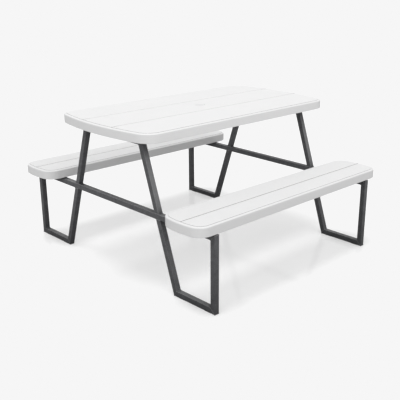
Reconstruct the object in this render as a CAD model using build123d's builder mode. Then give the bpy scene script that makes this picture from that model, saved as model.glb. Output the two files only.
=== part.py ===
"""Picnic table with two benches on a one-piece pair of welded end frames.

A moulded plastic tabletop and two moulded plastic benches sit on two end frames of square steel
tube, joined lengthwise by four square rails.  Millimetres, +Z up.  The origin is on the floor under
the middle of the table, +X runs along the table, and the front bench is on the -Y side.
"""
import os
from math import atan2, degrees, hypot, sqrt

from build123d import *

# ---- overall sizes ------------------------------------------------------------------------------
table_height = 737.0  # floor to tabletop
seat_height = 417.0  # floor to bench top

# ---- moulded boards -----------------------------------------------------------------------------
top_length = 1304.0  # over the middle of the bowed ends
top_width = 676.0
top_thickness = 45.5
top_bow = 43.0  # how far an end's middle stands out past its corners
top_corner = 86.0
top_plank_line = 108.5  # centre of a lengthwise groove, from the table's middle

bench_length = 1300.0
bench_width = 249.5
bench_thickness = 47.5
bench_bow = 17.5
bench_corner = 64.0
bench_middle = 558.0  # middle of a bench, from the table's middle
bench_plank_line = 3.0  # centre of its lengthwise groove, outward from the bench's middle

skin = 4.5  # wall of the hollow boards
rim_radius = 6.0  # rounding of a board's upper edge
lower_radius = 3.0  # rounding of a board's lower edge
border_inset = 13.5  # edge of a board to its raised middle
border_step = 1.8  # how far the border lies below the middle
groove_width = 4.0
groove_depth = 2.6
groove_rounding = 0.8

# ---- tacked dimples that tie a board's lower skin to its upper skin -----------------------------
dimple_mouth = 15.0  # radii of the cone
dimple_tip = 6.0
dimple_columns = 3  # on each side of the middle plates
top_dimple_rows = (-235.0, -65.0, 65.0, 235.0)
bench_dimple_rows = (-65.0, 65.0)

# ---- steel frames -------------------------------------------------------------------------------
tube_size = 26.5
tube_wall = 1.5
tube_corner = 2.0
frame_x = 545.0  # middle of an end frame, from the table's middle
leg_foot_y = 446.9  # outer face of a leaning leg at its foot
leg_top_y = 216.2  # the same face at the top rail
post_y = 681.7  # outer face of a bench post
top_rail_y = 150.0  # middle of a lengthwise rail under the tabletop

# ---- plates between the frames and the boards ---------------------------------------------------
plate_thickness = 4.0
plate_length = 90.0  # across the tube
plate_width = 50.0  # along the tube
plate_corner = 5.0
plate_hole_reach = 31.0  # a bolt's place, from the tube's middle
top_plate_y = 90.0
bench_plate_reach = 62.0  # an end plate's place, from the bench's middle

# ---- fasteners ----------------------------------------------------------------------------------
bolt_radius = 3.0
bolt_head_flats = 10.0
bolt_head_height = 4.0
washer_radius = 6.5
washer_thickness = 1.2
insert_radius = 5.0
insert_length = 14.0
bolt_end_gap = 2.0  # bolt's end to the end of its insert
boss_wall = 4.0
thread_clearance = 0.05
plate_hole_clearance = 0.4
press_clearance = 0.03

# ---- floor glides -------------------------------------------------------------------------------
glide_thickness = 1.6
glide_length = 42.0
glide_width = 22.0
glide_corner = 4.0
glide_stem_radius = 4.0
glide_stem_length = 6.0
glide_end_reach = 46.0  # a glide's middle, from the corner of its foot bar

# ---- umbrella hole and its cap ------------------------------------------------------------------
pole_hole_radius = 20.5
pole_sleeve_wall = 4.0
cap_seat_radius = 22.5  # wider mouth of the hole, which the cap's skirt sits in
cap_radius = 25.5
cap_thickness = 2.4
cap_skirt_length = 15.0
cap_skirt_wall = 2.0
cap_clearance = 0.3
cap_notch_radius = 7.0  # finger notch beside the cap
cap_notch_overlap = 3.0  # how far the notch reaches past the cap's recess

# ---- sizes that follow from those above ---------------------------------------------------------
top_underside = table_height - top_thickness
bench_underside = seat_height - bench_thickness
bar_low = glide_thickness
bar_high = bar_low + tube_size
cross_high = bench_underside - plate_thickness
cross_low = cross_high - tube_size
rail_high = top_underside - plate_thickness
rail_low = rail_high - tube_size
lean = (leg_foot_y - leg_top_y) / (rail_high - bar_low)
leg_across = tube_size * hypot(1.0, lean)
rail_half_length = frame_x - tube_size / 2
bolt_reach = washer_thickness + plate_thickness + insert_length - bolt_end_gap
recess_radius = cap_radius + cap_clearance
recess_depth = cap_thickness + cap_clearance
cap_seat_depth = cap_thickness + cap_skirt_length + cap_clearance
dimple_pitch = frame_x / (dimple_columns + 1)
dimple_places = [side * step * dimple_pitch for step in range(1, dimple_columns + 1)
                 for side in (-1, 1)]
sides = {"front": -1, "back": 1}
ends = {"left": -1, "right": 1}

os.makedirs("parts", exist_ok=True)


def save(piece, name):
    """Labels a finished piece and writes it to its own file."""
    piece.part.label = name
    export_step(piece.part, f"parts/{name}.step")


def leg_outer(z):
    """Distance of a leaning leg's outer face from the table's middle, at height z."""
    return leg_foot_y - lean * (z - bar_low)


def leg_inner(z):
    return leg_outer(z) - leg_across


# ---- moulded boards -----------------------------------------------------------------------------
def board_outline(length, width, bow, corner, inset=0.0, mode=Mode.ADD):
    """Draws a board's outline in the open sketch: straight sides, bowed ends, round corners."""
    half_length = length / 2 - inset
    half_width = width / 2 - inset
    bow_radius = ((width / 2) ** 2 + bow**2) / (2 * bow) - inset
    corner_radius = corner - inset
    bow_centre = half_length - bow_radius
    corner_y = half_width - corner_radius
    corner_x = bow_centre + sqrt((bow_radius - corner_radius) ** 2 - corner_y**2)
    turn = degrees(atan2(corner_y, corner_x - bow_centre))
    with BuildLine() as edge:
        Line((0, half_width), (corner_x, half_width))
        CenterArc((corner_x, corner_y), corner_radius, turn, 90 - turn)
        CenterArc((bow_centre, 0), bow_radius, -turn, 2 * turn)
        CenterArc((corner_x, -corner_y), corner_radius, -90, 90 - turn)
        Line((corner_x, -half_width), (0, -half_width))
        mirror(about=Plane.YZ)
    make_face(edge.edges(), mode=mode)


def board_cavity(outline, underside, thickness, middle_y, bolt_places, dimple_rows, pole_hole):
    """The sealed hollow inside a board, which leaves bosses, dimples and a pole sleeve standing."""
    height = thickness - 2 * skin
    floor = underside + skin
    boss_radius = insert_radius + boss_wall
    with BuildPart() as cavity:
        with BuildSketch(Plane((0, middle_y, floor))):
            board_outline(*outline, inset=skin)
        extrude(amount=height)
        fillet(cavity.faces().sort_by(Axis.Z)[-1].outer_wire().edges(), rim_radius - skin)
        with Locations(*[(x, y, floor) for x, y in bolt_places]):
            Cylinder(boss_radius, insert_length, align=(Align.CENTER, Align.CENTER, Align.MIN),
                     mode=Mode.SUBTRACT)
        with Locations(*[(x, middle_y + y, floor) for x in dimple_places for y in dimple_rows]):
            Cone(dimple_mouth + skin, dimple_tip + skin, height,
                 align=(Align.CENTER, Align.CENTER, Align.MIN), mode=Mode.SUBTRACT)
        if pole_hole:
            with Locations((0, middle_y, floor)):
                Cylinder(cap_seat_radius + pole_sleeve_wall, height,
                         align=(Align.CENTER, Align.CENTER, Align.MIN), mode=Mode.SUBTRACT)
            with Locations((0, middle_y, floor + height)):
                Cylinder(recess_radius + cap_notch_radius + skin, recess_depth,
                         align=(Align.CENTER, Align.CENTER, Align.MAX), mode=Mode.SUBTRACT)
    return cavity


def moulded_board(name, outline, upper_face, thickness, middle_y, plank_lines, bolt_places,
                  dimple_rows, pole_hole=False):
    """One blow-moulded board: rounded rim, lowered border, plank grooves, hollow inside."""
    underside = upper_face - thickness
    cavity = board_cavity(outline, underside, thickness, middle_y, bolt_places, dimple_rows,
                          pole_hole)
    with BuildPart() as board:
        with BuildSketch(Plane((0, middle_y, underside))):
            board_outline(*outline)
        extrude(amount=thickness - border_step)
        fillet(board.faces().sort_by(Axis.Z)[-1].outer_wire().edges(), rim_radius)
        fillet(board.faces().sort_by(Axis.Z)[0].outer_wire().edges(), lower_radius)
        with BuildSketch(Plane((0, middle_y, upper_face - border_step))):
            board_outline(*outline, inset=border_inset)
        extrude(amount=border_step)
        with BuildSketch(Plane((0, middle_y, upper_face))):
            with Locations(*[(0, y) for y in plank_lines]):
                Rectangle(outline[0], groove_width)
            board_outline(*outline, inset=border_inset, mode=Mode.INTERSECT)
        extrude(amount=-groove_depth, mode=Mode.SUBTRACT)
        planks = [face for face in board.faces().filter_by(GeomType.PLANE)
                  if abs(face.center().Z - upper_face) < 0.01]
        fillet([edge for face in planks for edge in face.outer_wire().edges()], groove_rounding)
        with Locations(*[(x, y, underside) for x, y in bolt_places]):
            Cylinder(insert_radius + press_clearance, insert_length,
                     align=(Align.CENTER, Align.CENTER, Align.MIN), mode=Mode.SUBTRACT)
        with Locations(*[(x, middle_y + y, underside) for x in dimple_places
                         for y in dimple_rows]):
            Cone(dimple_mouth, dimple_tip, thickness - 2 * skin,
                 align=(Align.CENTER, Align.CENTER, Align.MIN), mode=Mode.SUBTRACT)
        add(cavity.part, mode=Mode.SUBTRACT)
        if pole_hole:
            with Locations((0, middle_y, underside)):
                Cylinder(pole_hole_radius, thickness,
                         align=(Align.CENTER, Align.CENTER, Align.MIN), mode=Mode.SUBTRACT)
            with Locations((0, middle_y, upper_face)):
                Cylinder(cap_seat_radius, cap_seat_depth,
                         align=(Align.CENTER, Align.CENTER, Align.MAX), mode=Mode.SUBTRACT)
                Cylinder(recess_radius, recess_depth,
                         align=(Align.CENTER, Align.CENTER, Align.MAX), mode=Mode.SUBTRACT)
            with Locations((recess_radius + cap_notch_overlap, middle_y, upper_face)):
                Sphere(cap_notch_radius, mode=Mode.SUBTRACT)
    save(board, name)


def bolt_places(plates):
    """The two bolts of each plate, one on each side of the tube that the plate sits on."""
    places = []
    for x, y, along_x in plates:
        for reach in (-plate_hole_reach, plate_hole_reach):
            if along_x:
                places.append((x, y + reach))
            else:
                places.append((x + reach, y))
    return places


# A plate is (x, y, whether its tube runs along X).
top_end_plates = [(x * frame_x, y * top_plate_y, False) for x in (-1, 1) for y in (-1, 1)]
top_middle_plates = [(0, y * top_rail_y, True) for y in (-1, 1)]
bench_end_plates = {
    side: [(x * frame_x, sign * bench_middle + reach, False)
           for x in (-1, 1) for reach in (-bench_plate_reach, bench_plate_reach)]
    for side, sign in sides.items()
}
bench_middle_plate = {side: [(0, sign * bench_middle, True)] for side, sign in sides.items()}

top_bolts = bolt_places(top_end_plates + top_middle_plates)
moulded_board("tabletop", (top_length, top_width, top_bow, top_corner), table_height,
              top_thickness, 0, (-top_plank_line, top_plank_line), top_bolts, top_dimple_rows,
              pole_hole=True)

bench_bolts = []
for side, sign in sides.items():
    bolts = bolt_places(bench_end_plates[side] + bench_middle_plate[side])
    moulded_board(f"bench_seat_{side}", (bench_length, bench_width, bench_bow, bench_corner),
                  seat_height, bench_thickness, sign * bench_middle, (sign * bench_plank_line,), bolts,
                  bench_dimple_rows)
    bench_bolts += bolts


# ---- end frames ---------------------------------------------------------------------------------
def mitred_tube(name, x, lower_face, upper_face, glide_places=()):
    """A square tube in an end frame's plane, cut to meet its neighbours at its ends.

    Each face is its two end points (y, z), so the ends may be cut square or at any angle.
    """
    start, end = [Vector(*point) for point in lower_face]
    far_start, far_end = [Vector(*point) for point in upper_face]
    along = (end - start).normalized()
    across = Vector(-along.Y, along.X)
    if across.dot(far_start - start) < 0:
        across = -across
    overrun = along * 2 * tube_size
    inward = across * tube_wall
    with BuildPart() as tube:
        with BuildSketch(Plane.YZ.offset(x)):
            Polygon(tuple(start)[:2], tuple(end)[:2], tuple(far_end)[:2],
                    tuple(far_start)[:2], align=None)
        extrude(amount=tube_size / 2, both=True)
        fillet(tube.edges().filter_by(Axis((0, 0, 0), (0, along.X, along.Y))), tube_corner)
        with BuildSketch(Plane.YZ.offset(x)):
            corners = (start + inward - overrun, end + inward + overrun,
                       far_end - inward + overrun, far_start - inward - overrun)
            Polygon(*[tuple(corner)[:2] for corner in corners], align=None)
        extrude(amount=tube_size / 2 - tube_wall, both=True, mode=Mode.SUBTRACT)
        if glide_places:
            with Locations(*[(x, y, bar_low) for y in glide_places]):
                Cylinder(glide_stem_radius + press_clearance, 2 * tube_wall + press_clearance,
                         mode=Mode.SUBTRACT)
    save(tube, name)


def glide_row(sign):
    """The two glides under one foot bar."""
    return (sign * (leg_inner(bar_low) + glide_end_reach), sign * (post_y - glide_end_reach))


for end, x_sign in ends.items():
    x = x_sign * frame_x
    mitred_tube(f"{end}_crossbar", x,
                ((-post_y + tube_size, cross_low), (post_y - tube_size, cross_low)),
                ((-post_y, cross_high), (post_y, cross_high)))
    mitred_tube(f"{end}_top_rail", x,
                ((-leg_inner(rail_low), rail_low), (leg_inner(rail_low), rail_low)),
                ((-leg_outer(rail_high), rail_high), (leg_outer(rail_high), rail_high)))
    for side, sign in sides.items():
        mitred_tube(f"{end}_{side}_lower_leg", x,
                    ((sign * leg_outer(bar_high), bar_high),
                     (sign * leg_outer(cross_low), cross_low)),
                    ((sign * leg_inner(bar_low), bar_low),
                     (sign * leg_inner(cross_low), cross_low)))
        mitred_tube(f"{end}_{side}_upper_leg", x,
                    ((sign * leg_outer(cross_high), cross_high),
                     (sign * leg_outer(rail_high), rail_high)),
                    ((sign * leg_inner(cross_high), cross_high),
                     (sign * leg_inner(rail_low), rail_low)))
        mitred_tube(f"{end}_{side}_post", x,
                    ((sign * post_y, bar_low), (sign * post_y, cross_high)),
                    ((sign * (post_y - tube_size), bar_high),
                     (sign * (post_y - tube_size), cross_low)))
        mitred_tube(f"{end}_{side}_foot_bar", x,
                    ((sign * leg_inner(bar_low), bar_low), (sign * post_y, bar_low)),
                    ((sign * leg_outer(bar_high), bar_high),
                     (sign * (post_y - tube_size), bar_high)),
                    glide_places=glide_row(sign))


# ---- lengthwise rails ---------------------------------------------------------------------------
def long_rail(name, y, lower_face):
    """A square tube along the table, butted against the two end frames."""
    middle_z = lower_face + tube_size / 2
    with BuildPart() as rail:
        with BuildSketch(Plane.YZ.offset(-rail_half_length)):
            with Locations((y, middle_z)):
                RectangleRounded(tube_size, tube_size, tube_corner)
                Rectangle(tube_size - 2 * tube_wall, tube_size - 2 * tube_wall,
                          mode=Mode.SUBTRACT)
        extrude(amount=2 * rail_half_length)
    save(rail, name)


for side, sign in sides.items():
    long_rail(f"top_support_rail_{side}", sign * top_rail_y, rail_low)
    long_rail(f"bench_support_rail_{side}", sign * bench_middle, cross_low)


# ---- mounting plates ----------------------------------------------------------------------------
def plate_group(name, plates, lower_face):
    """Steel plates welded on top of the tubes, with a bolt hole on each side of the tube."""
    with BuildPart() as group:
        with BuildSketch(Plane.XY.offset(lower_face)):
            for x, y, along_x in plates:
                with Locations(Location((x, y), 90 if along_x else 0)):
                    RectangleRounded(plate_length, plate_width, plate_corner)
            with Locations(*bolt_places(plates)):
                Circle(bolt_radius + plate_hole_clearance, mode=Mode.SUBTRACT)
        extrude(amount=plate_thickness)
    save(group, name)


plate_group("top_end_plates", top_end_plates, rail_high)
plate_group("top_middle_plates", top_middle_plates, rail_high)
for side in sides:
    plate_group(f"bench_end_plates_{side}", bench_end_plates[side], cross_high)
    plate_group(f"bench_middle_plate_{side}", bench_middle_plate[side], cross_high)


# ---- bolts, washers and threaded inserts --------------------------------------------------------
def fastener_group(prefix, places, board_underside):
    """A hexagon bolt, a washer and a brass insert at every bolt place of a board."""
    plate_underside = board_underside - plate_thickness
    with BuildPart() as inserts:
        with BuildSketch(Plane.XY.offset(board_underside)):
            with Locations(*places):
                Circle(insert_radius)
                Circle(bolt_radius + thread_clearance, mode=Mode.SUBTRACT)
        extrude(amount=insert_length)
    save(inserts, f"{prefix}_inserts")
    with BuildPart() as washers:
        with BuildSketch(Plane.XY.offset(plate_underside)):
            with Locations(*places):
                Circle(washer_radius)
                Circle(bolt_radius + plate_hole_clearance, mode=Mode.SUBTRACT)
        extrude(amount=-washer_thickness)
    save(washers, f"{prefix}_washers")
    head_top = plate_underside - washer_thickness
    with BuildPart() as bolts:
        with BuildSketch(Plane.XY.offset(head_top)):
            with Locations(*places):
                RegularPolygon(bolt_head_flats / 2, 6, major_radius=False)
        extrude(amount=-bolt_head_height)
        with BuildSketch(Plane.XY.offset(head_top)):
            with Locations(*places):
                Circle(bolt_radius)
        extrude(amount=bolt_reach)
    save(bolts, f"{prefix}_bolts")


fastener_group("top", top_bolts, top_underside)
fastener_group("bench", bench_bolts, bench_underside)


# ---- floor glides -------------------------------------------------------------------------------
for end, x_sign in ends.items():
    for side, sign in sides.items():
        glide_spots = [(x_sign * frame_x, y) for y in glide_row(sign)]
        with BuildPart() as glides:
            with BuildSketch(Plane.XY):
                with Locations(*glide_spots):
                    RectangleRounded(glide_width, glide_length, glide_corner)
            extrude(amount=glide_thickness)
            with BuildSketch(Plane.XY.offset(glide_thickness)):
                with Locations(*glide_spots):
                    Circle(glide_stem_radius)
            extrude(amount=glide_stem_length)
        save(glides, f"{end}_{side}_glides")


# ---- cap of the umbrella hole -------------------------------------------------------------------
cap_underside = table_height - cap_thickness
skirt_radius = cap_seat_radius - cap_clearance
with BuildPart() as umbrella_cap:
    with BuildSketch(Plane.XY.offset(cap_underside)):
        Circle(cap_radius)
    extrude(amount=cap_thickness)
    fillet(umbrella_cap.faces().sort_by(Axis.Z)[-1].edges(), cap_thickness / 2)
    with BuildSketch(Plane.XY.offset(cap_underside)):
        Circle(skirt_radius)
        Circle(skirt_radius - cap_skirt_wall, mode=Mode.SUBTRACT)
    extrude(amount=-cap_skirt_length)
save(umbrella_cap, "umbrella_hole_cap")
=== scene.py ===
from math import cos, hypot, pi, radians, sin

import bpy
from mathutils import Matrix, Vector


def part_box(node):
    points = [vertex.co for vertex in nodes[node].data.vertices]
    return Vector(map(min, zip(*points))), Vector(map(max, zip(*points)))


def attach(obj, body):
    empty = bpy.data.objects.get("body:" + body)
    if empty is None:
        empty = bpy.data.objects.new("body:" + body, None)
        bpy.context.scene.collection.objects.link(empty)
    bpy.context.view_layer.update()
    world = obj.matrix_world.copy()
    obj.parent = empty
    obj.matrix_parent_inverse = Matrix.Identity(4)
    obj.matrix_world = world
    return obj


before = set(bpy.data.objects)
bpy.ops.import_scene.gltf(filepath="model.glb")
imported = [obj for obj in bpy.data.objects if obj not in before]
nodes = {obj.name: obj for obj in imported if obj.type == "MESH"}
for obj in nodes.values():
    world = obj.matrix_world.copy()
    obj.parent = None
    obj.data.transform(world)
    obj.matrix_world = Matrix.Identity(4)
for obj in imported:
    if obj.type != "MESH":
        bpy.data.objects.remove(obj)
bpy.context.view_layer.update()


# ---- Steel end frames ---------------------------------------------------------------------------
# Each end of the table is one flat frame of square steel tube, about 26 mm wide, sawn, mitred and
# welded. The finished frames are sprayed with a dark grey powder that bakes into a hammered skin.


def feed(tree, socket, source):
    """Sets a socket to a number or a colour, or links it to another node's output."""
    if isinstance(source, bpy.types.NodeSocket):
        tree.links.new(source, socket)
    elif isinstance(source, tuple):
        socket.default_value = (*source, 1.0)
    else:
        socket.default_value = source


def surface_place(tree):
    """Where a point of the surface lies, in metres from the floor under the table's middle."""
    return tree.nodes.new("ShaderNodeTexCoord").outputs["Object"]


def surface_noise(tree, scale, detail=2.0, roughness=0.5):
    """Uneven patches over the surface, counted per metre."""
    noise = tree.nodes.new("ShaderNodeTexNoise")
    feed(tree, noise.inputs["Vector"], surface_place(tree))
    feed(tree, noise.inputs["Scale"], scale)
    feed(tree, noise.inputs["Detail"], detail)
    feed(tree, noise.inputs["Roughness"], roughness)
    return noise.outputs["Fac"]


def surface_cells(tree, scale, smoothness=1.0):
    """Rounded dimples over the surface, counted per metre."""
    cells = tree.nodes.new("ShaderNodeTexVoronoi")
    cells.feature = "SMOOTH_F1"
    feed(tree, cells.inputs["Vector"], surface_place(tree))
    feed(tree, cells.inputs["Scale"], scale)
    feed(tree, cells.inputs["Smoothness"], smoothness)
    return cells.outputs["Distance"]


def ramp(tree, value, low, high, to_low=0.0, to_high=1.0):
    """Stretches the part of a mask between low and high over the range to_low to to_high."""
    stretch = tree.nodes.new("ShaderNodeMapRange")
    feed(tree, stretch.inputs["Value"], value)
    feed(tree, stretch.inputs["From Min"], low)
    feed(tree, stretch.inputs["From Max"], high)
    feed(tree, stretch.inputs["To Min"], to_low)
    feed(tree, stretch.inputs["To Max"], to_high)
    return stretch.outputs["Result"]


def arithmetic(tree, operation, *terms):
    """One math node; each term is a number or another node's output."""
    step = tree.nodes.new("ShaderNodeMath")
    step.operation = operation
    for socket, term in zip(step.inputs, terms):
        feed(tree, socket, term)
    return step.outputs["Value"]


def blend_colour(tree, mask, first, second):
    """Mixes two colours by a mask; each colour is three numbers or another node's output."""
    mix = tree.nodes.new("ShaderNodeMix")
    mix.data_type = "RGBA"
    feed(tree, mix.inputs["Factor"], mask)
    feed(tree, mix.inputs["A"], first)
    feed(tree, mix.inputs["B"], second)
    return mix.outputs["Result"]


def open_air_mask(tree, reach, own_piece_only=False):
    """How far a point of the surface stands clear of faces within reach: 1 is wholly clear."""
    openness = tree.nodes.new("ShaderNodeAmbientOcclusion")
    openness.samples = 8
    openness.only_local = own_piece_only
    feed(tree, openness.inputs["Distance"], reach)
    return openness.outputs["AO"]


def new_group(name, inputs, outputs):
    """An empty node group, its inputs with their usual values, and its outputs."""
    group = bpy.data.node_groups.new(name, "ShaderNodeTree")
    for label, value in inputs.items():
        socket = group.interface.new_socket(label, in_out="INPUT", socket_type="NodeSocketFloat")
        socket.default_value = value
    for label in outputs:
        group.interface.new_socket(label, in_out="OUTPUT", socket_type="NodeSocketFloat")
    into = group.nodes.new("NodeGroupInput").outputs
    out = group.nodes.new("NodeGroupOutput").inputs
    return group, into, out


def place_group(tree, group, values):
    """Sets a node group in a material with the material's own values."""
    placed = tree.nodes.new("ShaderNodeGroup")
    placed.node_tree = group
    for label, value in values.items():
        placed.inputs[label].default_value = value
    return placed.outputs


def new_finish(name):
    """An empty node material and its Principled shader."""
    finish = bpy.data.materials.new(name)
    finish.use_nodes = True
    return finish, finish.node_tree, finish.node_tree.nodes["Principled BSDF"]


def raise_surface(tree, shader, height, distance):
    """Turns a height mask into relief of the given depth in metres."""
    bump = tree.nodes.new("ShaderNodeBump")
    feed(tree, bump.inputs["Distance"], distance)
    feed(tree, bump.inputs["Height"], height)
    feed(tree, shader.inputs["Normal"], bump.outputs["Normal"])


def coat_piece(piece, finish):
    """Gives every part of a piece one finish."""
    if not piece.material_slots:
        piece.data.materials.append(finish)
    for material_slot in piece.material_slots:
        material_slot.material = finish


def coat_pieces(finish, *words):
    """Gives one finish to every piece whose name holds one of the words."""
    for name, piece in nodes.items():
        if any(word in name for word in words):
            coat_piece(piece, finish)


def hammered_skin_group():
    """Powder run into smooth dimples: a height, paler flecks, and slow mottling."""
    group, into, out = new_group("hammered_skin", {"Dimples per Metre": 300.0, "Flecks": 0.5},
                                 ("Height", "Fleck", "Mottle"))
    dimples = surface_cells(group, into["Dimples per Metre"], smoothness=0.7)
    grit = surface_noise(group, 1400.0)
    grit_share = 0.15
    feed(group, out["Height"], arithmetic(group, "MULTIPLY_ADD", grit, grit_share, dimples))
    specks = surface_noise(group, 480.0, detail=5.0, roughness=0.8)
    flecks = ramp(group, specks, 0.46, 0.68)
    feed(group, out["Fleck"], arithmetic(group, "MULTIPLY", flecks, into["Flecks"]))
    patches = surface_noise(group, 34.0, detail=5.0, roughness=0.6)
    feed(group, out["Mottle"], ramp(group, patches, 0.3, 0.7))
    return group


def painted_light_and_shade_group():
    """Painted shade on sheltered steel, and painted light on its open upward faces."""
    group, into, out = new_group("painted_light_and_shade", {"Shelter Reach": 0.4, "Most Top Light": 0.8},
                                 ("Unshaded", "Top Light"))
    openness = open_air_mask(group, into["Shelter Reach"])
    feed(group, out["Unshaded"], ramp(group, openness, 0.4, 0.95, 0.35, 1.0))
    facing = group.nodes.new("ShaderNodeSeparateXYZ")
    geometry = group.nodes.new("ShaderNodeNewGeometry")
    feed(group, facing.inputs["Vector"], geometry.outputs["True Normal"])
    upward = ramp(group, facing.outputs["Z"], 0.05, 0.4)
    exposed = ramp(group, openness, 0.6, 0.9)
    open_upward = arithmetic(group, "MULTIPLY", upward, exposed)
    feed(group, out["Top Light"], arithmetic(group, "MULTIPLY", open_upward, into["Most Top Light"]))
    return group


hammered_skin = hammered_skin_group()
painted_light_and_shade = painted_light_and_shade_group()


def powder_coat(name, glint_paleness):
    """Dark grey hammered powder coat with paler flecks, plus painted shade and painted top light.
    """
    dark_patch = (0.054, 0.054, 0.058)
    light_patch = (0.110, 0.111, 0.118)
    fleck = (0.25 + glint_paleness, 0.253 + glint_paleness, 0.265 + glint_paleness)
    painted_shade_colour = (0.018, 0.018, 0.020)
    top_light_colour = (0.34, 0.34, 0.345)
    hammer_depth = 0.0007
    coat, tree, shader = new_finish(name)
    shader.inputs["Specular IOR Level"].default_value = 0.5
    skin = place_group(tree, hammered_skin, {"Dimples per Metre": 330.0, "Flecks": 0.85})
    light_and_shade = place_group(tree, painted_light_and_shade, {"Shelter Reach": 0.4, "Most Top Light": 0.8})
    mottled = blend_colour(tree, skin["Mottle"], dark_patch, light_patch)
    flecked = blend_colour(tree, skin["Fleck"], mottled, fleck)
    # Painted shade: where other parts shelter the coat, it is darkened to near-black.
    shade_painted = blend_colour(tree, light_and_shade["Unshaded"], painted_shade_colour, flecked)
    # Painted light: open upward faces are lightened to pale grey.
    top_lit = blend_colour(tree, light_and_shade["Top Light"], shade_painted, top_light_colour)
    feed(tree, shader.inputs["Base Color"], top_lit)
    feed(tree, shader.inputs["Roughness"], ramp(tree, skin["Mottle"], 0.0, 1.0, 0.52, 0.34))
    feed(tree, shader.inputs["Metallic"], arithmetic(tree, "MULTIPLY", skin["Fleck"], 0.6))
    raise_surface(tree, shader, skin["Height"], hammer_depth)
    return coat


steel_coat = powder_coat("powder_coat", glint_paleness=0.0)
coat_pieces(steel_coat, "crossbar", "top_rail", "_leg", "_post", "foot_bar")


# ---- Welds of the end frames --------------------------------------------------------------------
# Every joint of a frame is welded all round with a wire feed. The bead is about 4 mm wide with the
# usual ripple, ground nearly flush on the flat faces and left whole in the inner corners.

# Painted glint: the welds' flecks are much paler than the frames' flecks.
weld_coat = powder_coat("powder_coat_on_welds", glint_paleness=0.35)
bead_radius = 0.00189
bead_sides = 8
ripple_swell = 0.16  # how much thicker the bead is on a ripple
ripple_pitch = 0.0016
rings_per_ripple = 3
flush_depth = 0.0009  # how deep a bead's middle lies in a flat face


def bead_rings(corners):
    """The middle and the direction of each ring of a bead round a loop of corners."""
    rings = []
    for here, there in zip(corners, corners[1:] + corners[:1]):
        run = there - here
        count = max(3, round(run.length / ripple_pitch * rings_per_ripple))
        rings += [(here + run * step / count, run.normalized()) for step in range(count)]
    return rings


def weld_beads(name, loops):
    """One mesh of rippled beads, each round a flat loop of four corner points."""
    points = []
    faces = []
    for loop in loops:
        corners = [Vector(corner) for corner in loop]
        plane_normal = (corners[1] - corners[0]).cross(corners[2] - corners[1]).normalized()
        rings = bead_rings(corners)
        first = len(points)
        for index, (middle, along) in enumerate(rings):
            outward = along.cross(plane_normal)
            radius = bead_radius * (1 + ripple_swell * abs(sin(pi * index / rings_per_ripple)))
            for side in range(bead_sides):
                angle = 2 * pi * side / bead_sides
                points.append(middle + (outward * cos(angle) + plane_normal * sin(angle)) * radius)
        for index in range(len(rings)):
            here = first + index * bead_sides
            there = first + (index + 1) % len(rings) * bead_sides
            for side in range(bead_sides):
                beside = (side + 1) % bead_sides
                faces.append((here + side, there + side, there + beside, here + beside))
    mesh = bpy.data.meshes.new(name)
    mesh.from_pydata(points, [], faces)
    mesh.shade_smooth()
    mesh.update()
    beads = bpy.data.objects.new(name, mesh)
    bpy.context.collection.objects.link(beads)
    coat_piece(beads, weld_coat)
    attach(beads, "table")


def frame_loops(end):
    """A loop round each joint of one end frame."""
    cross_low, cross_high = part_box(f"{end}_crossbar")
    rail_low, rail_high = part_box(f"{end}_top_rail")
    bar_low, bar_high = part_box(f"{end}_back_foot_bar")
    leg_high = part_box(f"{end}_back_upper_leg")[1]
    tube_width = cross_high[2] - cross_low[2]
    lean = (leg_high[1] - rail_high[1]) / (rail_high[2] - cross_high[2])
    leg_width = tube_width * hypot(1, lean)  # measured level

    def leg_outer(z):
        """How far out the leaning leg's outer face stands at height z."""
        return rail_high[1] + lean * (rail_high[2] - z)

    def leg_inner(z):
        return leg_outer(z) - leg_width

    post_outer = cross_high[1] - flush_depth
    post_inner = cross_high[1] - tube_width
    bar_floor = bar_low[2] + flush_depth
    # Each joint is the two points (y, z) where its plane meets the edges of the tube.
    joints = [
        # leg against crossbar, below and above
        ((leg_outer(cross_low[2]), cross_low[2]), (leg_inner(cross_low[2]), cross_low[2])),
        ((leg_outer(cross_high[2]), cross_high[2]), (leg_inner(cross_high[2]), cross_high[2])),
        # foot bar to leg, and to post
        ((leg_outer(bar_high[2]), bar_high[2]), (leg_inner(bar_low[2]) + flush_depth, bar_floor)),
        ((post_inner, bar_high[2]), (post_outer, bar_floor)),
        # crossbar to post
        ((post_inner, cross_low[2]), (post_outer, cross_high[2] - flush_depth)),
        # top rail to leg
        ((leg_inner(rail_low[2]), rail_low[2]),
         (rail_high[1] - flush_depth, rail_high[2] - flush_depth)),
    ]
    near_x = cross_low[0] + flush_depth
    far_x = cross_high[0] - flush_depth
    loops = []
    for sign in (-1, 1):  # front and back
        for (y, z), (other_y, other_z) in joints:
            loops.append([(near_x, sign * y, z), (near_x, sign * other_y, other_z),
                          (far_x, sign * other_y, other_z), (far_x, sign * y, z)])
    return loops


for end in ("left", "right"):
    weld_beads(f"{end}_frame_welds", frame_loops(end))


# ---- Lengthwise rails and mounting plates -------------------------------------------------------
# Four rails of the same tube tie the two frames together, butted and welded to them. Plates of
# 4 mm steel welded on top take the bolts of the boards. All of it is sprayed with the frames.

coat_pieces(steel_coat, "support_rail", "_plate")

rail_loops = []
for side in ("front", "back"):
    for board in ("top", "bench"):
        low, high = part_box(f"{board}_support_rail_{side}")
        lower_z = low[2] + flush_depth
        upper_z = high[2] - flush_depth
        for x in (low[0], high[0]):
            rail_loops.append([(x, low[1], lower_z), (x, high[1], lower_z),
                               (x, high[1], upper_z), (x, low[1], upper_z)])
weld_beads("rail_welds", rail_loops)


# ---- Floor glides -------------------------------------------------------------------------------
# Two black nylon glides are pushed into each foot bar. They carry the table and keep the coat off
# the ground, so their faces are scuffed paler.

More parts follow.
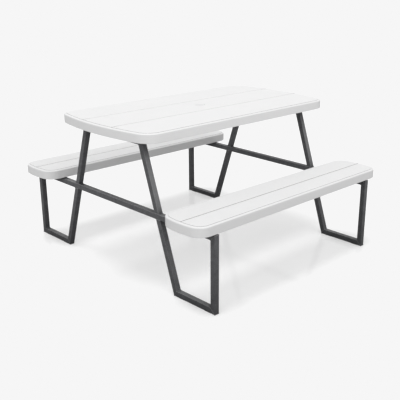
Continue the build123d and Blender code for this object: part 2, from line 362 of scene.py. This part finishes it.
def scuffed_nylon():
    black = (0.018, 0.018, 0.019)
    scuffed_grey = (0.06, 0.06, 0.062)
    grain_depth = 0.0002
    nylon, tree, shader = new_finish("scuffed_nylon")
    scuff = ramp(tree, surface_noise(tree, 90.0, detail=6.0, roughness=0.7), 0.45, 0.7)
    feed(tree, shader.inputs["Base Color"], blend_colour(tree, scuff, black, scuffed_grey))
    feed(tree, shader.inputs["Roughness"], ramp(tree, scuff, 0.0, 1.0, 0.42, 0.68))
    raise_surface(tree, shader, surface_noise(tree, 900.0), grain_depth)
    return nylon


coat_pieces(scuffed_nylon(), "_glides")


# ---- Tabletop and benches -----------------------------------------------------------------------
# The three boards are blow-moulded from white polyethylene, hollow inside, with a fine leather
# grain in the skin. Grooves part the raised middle into planks, and a lower border runs round it.
# Painted shade darkens the grooves and the foot of the border's step.

grain_per_metre = 1100.0
side_strip = 0.030  # along a board's sides, holds its border and the step up from it
end_strip = 0.060  # the same at its ends, deeper because they are bowed
crevice_reach = 0.005  # how near the next face stands in a groove or at the step


def moulded_grain_group():
    """Leather grain of a mould: a height, and slow changes of tone and gloss."""
    group, into, out = new_group("moulded_grain", {"Grain per Metre": 1000.0},
                                 ("Height", "Tone", "Gloss"))
    cells = surface_cells(group, into["Grain per Metre"])
    waves = surface_noise(group, 60.0)
    wave_share = 0.5
    feed(group, out["Height"], arithmetic(group, "MULTIPLY_ADD", waves, wave_share, cells))
    feed(group, out["Tone"], surface_noise(group, 7.0, detail=5.0, roughness=0.55))
    feed(group, out["Gloss"], surface_noise(group, 26.0, detail=6.0, roughness=0.65))
    return group


def crevice_shade_group():
    """Painted shade in a board's grooves and at the foot of its border's step, full on the border.
    """
    group, into, out = new_group("crevice_shade",
                                 {"Middle Line": 0.0, "Border from End": 0.6,
                                  "Border from Side": 0.3, "Plank Shade": 0.5},
                                 ("Shade",))
    openness = open_air_mask(group, crevice_reach, own_piece_only=True)
    crevices = ramp(group, openness, 0.92, 0.55)
    place = group.nodes.new("ShaderNodeSeparateXYZ")
    feed(group, place.inputs["Vector"], surface_place(group))
    along = arithmetic(group, "ABSOLUTE", place.outputs["X"])
    out_from_table = arithmetic(group, "ABSOLUTE", place.outputs["Y"])
    from_middle = arithmetic(group, "SUBTRACT", out_from_table, into["Middle Line"])
    across = arithmetic(group, "ABSOLUTE", from_middle)
    end_border = arithmetic(group, "GREATER_THAN", along, into["Border from End"])
    side_border = arithmetic(group, "GREATER_THAN", across, into["Border from Side"])
    border = arithmetic(group, "MAXIMUM", end_border, side_border)
    strength = arithmetic(group, "MAXIMUM", border, into["Plank Shade"])
    feed(group, out["Shade"], arithmetic(group, "MULTIPLY", crevices, strength))
    return group


moulded_grain = moulded_grain_group()
crevice_shade = crevice_shade_group()


def board_plastic(name, whiteness, plank_shade):
    """White grained polyethylene of one board, with painted shade in its crevices."""
    low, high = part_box(name)
    duller = (whiteness - 0.016, whiteness - 0.016, whiteness - 0.014)
    cleaner = (whiteness + 0.016, whiteness + 0.015, whiteness + 0.015)
    shaded = (0.36, 0.36, 0.358)
    grain_depth = 0.00022
    plastic, tree, shader = new_finish(f"{name}_plastic")
    shader.inputs["Specular IOR Level"].default_value = 0.4
    grain = place_group(tree, moulded_grain, {"Grain per Metre": grain_per_metre})
    crevices = place_group(tree, crevice_shade, {
        "Middle Line": abs(low[1] + high[1]) / 2,
        "Border from End": high[0] - end_strip,
        "Border from Side": (high[1] - low[1]) / 2 - side_strip,
        "Plank Shade": plank_shade,
    })
    white = blend_colour(tree, grain["Tone"], duller, cleaner)
    feed(tree, shader.inputs["Base Color"], blend_colour(tree, crevices["Shade"], white, shaded))
    feed(tree, shader.inputs["Roughness"], ramp(tree, grain["Gloss"], 0.3, 0.7, 0.46, 0.58))
    raise_surface(tree, shader, grain["Height"], grain_depth)
    return plastic


# Painted shade: the benches get a darker white than the tabletop, though all are one plastic.
for name, whiteness, plank_shade in (("tabletop", 0.885, 0.45),
                                     ("bench_seat_front", 0.845, 1.0),
                                     ("bench_seat_back", 0.845, 1.0)):
    coat_piece(nodes[name], board_plastic(name, whiteness, plank_shade))


# ---- Threaded inserts, washers and bolts --------------------------------------------------------
# Brass inserts are moulded into the boards. Zinc-plated hexagon bolts with plain washers come up
# through the plates from below.

def dull_spots_group():
    """Small dull spots on bare metal, and the fine marks of turning."""
    group, into, out = new_group("dull_spots", {"Spots per Metre": 420.0}, ("Spot", "Turning"))
    spots = surface_noise(group, into["Spots per Metre"], detail=4.0, roughness=0.7)
    feed(group, out["Spot"], ramp(group, spots, 0.5, 0.75))
    feed(group, out["Turning"], surface_noise(group, 2600.0))
    return group


dull_spots = dull_spots_group()


def turned_metal(name, colour, roughness, spots_per_metre):
    """Bare metal with fine turning marks and a few dull spots."""
    dull_colour = tuple(0.6 * part for part in colour)
    dull_roughness = roughness + 0.2
    mark_depth = 0.00005
    metal, tree, shader = new_finish(name)
    shader.inputs["Metallic"].default_value = 1.0
    marks = place_group(tree, dull_spots, {"Spots per Metre": spots_per_metre})
    feed(tree, shader.inputs["Base Color"], blend_colour(tree, marks["Spot"], colour, dull_colour))
    feed(tree, shader.inputs["Roughness"],
         ramp(tree, marks["Spot"], 0.0, 1.0, roughness, dull_roughness))
    raise_surface(tree, shader, marks["Turning"], mark_depth)
    return metal


zinc = turned_metal("zinc_plate", (0.60, 0.61, 0.63), roughness=0.32, spots_per_metre=420.0)
brass = turned_metal("turned_brass", (0.74, 0.55, 0.24), roughness=0.3, spots_per_metre=300.0)
coat_pieces(zinc, "_bolts", "_washers")
coat_pieces(brass, "_inserts")


# ---- Cap of the umbrella hole -------------------------------------------------------------------
# A push-in plug of the same plastic closes the umbrella hole and lies flush with the top. It comes
# from its own mould, whose grain is half as coarse as the boards'.

def cap_plastic():
    duller = (0.79, 0.79, 0.80)
    cleaner = (0.83, 0.83, 0.835)
    grain_depth = 0.0001
    plastic, tree, shader = new_finish("cap_plastic")
    grain = place_group(tree, moulded_grain, {"Grain per Metre": 2 * grain_per_metre})
    feed(tree, shader.inputs["Base Color"], blend_colour(tree, grain["Tone"], duller, cleaner))
    feed(tree, shader.inputs["Roughness"], ramp(tree, grain["Gloss"], 0.3, 0.7, 0.36, 0.46))
    raise_surface(tree, shader, grain["Height"], grain_depth)
    return plastic


coat_piece(nodes["umbrella_hole_cap"], cap_plastic())


# ---- Studio -------------------------------------------------------------------------------------
# A plain white floor that runs out of sight, an even pale sky, one large soft light overhead and
# two broad fill lights. To the camera the floor glows a little and the sky is white, so the shadows
# stay faint and no horizon shows. Every other ray meets a duller floor and sky.

def camera_sees(tree, seen, unseen, surface):
    """Shows one shader to the camera and another to every other ray."""
    rays = tree.nodes.new("ShaderNodeLightPath")
    mix = tree.nodes.new("ShaderNodeMixShader")
    feed(tree, mix.inputs["Fac"], rays.outputs["Is Camera Ray"])
    feed(tree, mix.inputs[1], unseen)
    feed(tree, mix.inputs[2], seen)
    feed(tree, surface, mix.outputs["Shader"])


def plain_sky(tree, strength):
    """White light of one strength from all round."""
    sky_light = tree.nodes.new("ShaderNodeBackground")
    sky_light.inputs["Color"].default_value = (1, 1, 1, 1)
    sky_light.inputs["Strength"].default_value = strength
    return sky_light.outputs["Background"]


floor_reach = 120.0
floor_mesh = bpy.data.meshes.new("studio_floor")
floor_mesh.from_pydata([(-floor_reach, -floor_reach, 0), (floor_reach, -floor_reach, 0),
                        (floor_reach, floor_reach, 0), (-floor_reach, floor_reach, 0)], [],
                       [(0, 1, 2, 3)])
studio_floor = bpy.data.objects.new("studio_floor", floor_mesh)
bpy.context.collection.objects.link(studio_floor)
floor_paint, floor_tree, floor_shader = new_finish("studio_floor")
floor_shader.inputs["Base Color"].default_value = (0.68, 0.68, 0.68, 1)
floor_shader.inputs["Roughness"].default_value = 0.08
floor_shader.inputs["Specular IOR Level"].default_value = 0.3
floor_shader.inputs["Emission Color"].default_value = (1, 1, 1, 1)
floor_shader.inputs["Emission Strength"].default_value = 0.42
duller_floor = floor_tree.nodes.new("ShaderNodeBsdfDiffuse")
duller_floor.inputs["Color"].default_value = (0.39, 0.39, 0.39, 1)
camera_sees(floor_tree, floor_shader.outputs["BSDF"], duller_floor.outputs["BSDF"],
            floor_tree.nodes["Material Output"].inputs["Surface"])
floor_mesh.materials.append(floor_paint)

sky = bpy.data.worlds.new("studio_sky")
sky.use_nodes = True
sky_tree = sky.node_tree
white_sky = plain_sky(sky_tree, 1.0)
duller_sky = plain_sky(sky_tree, 0.49)
camera_sees(sky_tree, white_sky, duller_sky, sky_tree.nodes["World Output"].inputs["Surface"])
bpy.context.scene.world = sky

for name, strength, spread, toward in (("overhead_light", 1.15, 20, (-0.08, 0.06, 1.0)),
                                       ("front_fill", 0.74, 60, (-0.1, -0.9, 0.55)),
                                       ("end_fill", 0.60, 60, (-0.9, -0.1, 0.55))):
    lamp = bpy.data.lights.new(name, "SUN")
    lamp.energy = strength
    lamp.angle = radians(spread)
    hanging_lamp = bpy.data.objects.new(name, lamp)
    hanging_lamp.rotation_euler = Vector(toward).to_track_quat("Z", "Y").to_euler()
    bpy.context.collection.objects.link(hanging_lamp)

# The camera stands off the table's front left corner, at the height of a person's chest.
camera_place = (-2.3631, -2.5303, 1.4031)
heading = radians(46.203)  # clockwise from +Y
tilt = radians(-18.897)
roll = radians(0.682)
forward = Vector((sin(heading) * cos(tilt), cos(heading) * cos(tilt), sin(tilt)))
level = Vector((cos(heading), -sin(heading), 0))
upright = level.cross(forward)
right = level * cos(roll) + upright * sin(roll)
up = upright * cos(roll) - level * sin(roll)
turned = Matrix((right, up, -forward)).transposed()
camera_data = bpy.data.cameras.new("camera")
camera_data.lens = 61.2
camera_data.sensor_width = 36.0
camera_data.shift_x = -0.090
camera_data.shift_y = 0.002
camera = bpy.data.objects.new("camera", camera_data)
camera.matrix_world = Matrix.Translation(camera_place) @ turned.to_4x4()
bpy.context.collection.objects.link(camera)
bpy.context.scene.camera = camera

# Tones run straight up to a light grey, and the brightest level off a little below full white.
light_grey = 0.85
brightest, brightest_shown = 0.925, 0.921
look = bpy.context.scene.view_settings
look.view_transform = "Standard"
look.use_curve_mapping = True
tone_curve = look.curve_mapping.curves[3]
tone_curve.points[1].location = (brightest, brightest_shown)
tone_curve.points.new(light_grey, light_grey)
look.curve_mapping.extend = "HORIZONTAL"
look.curve_mapping.update()
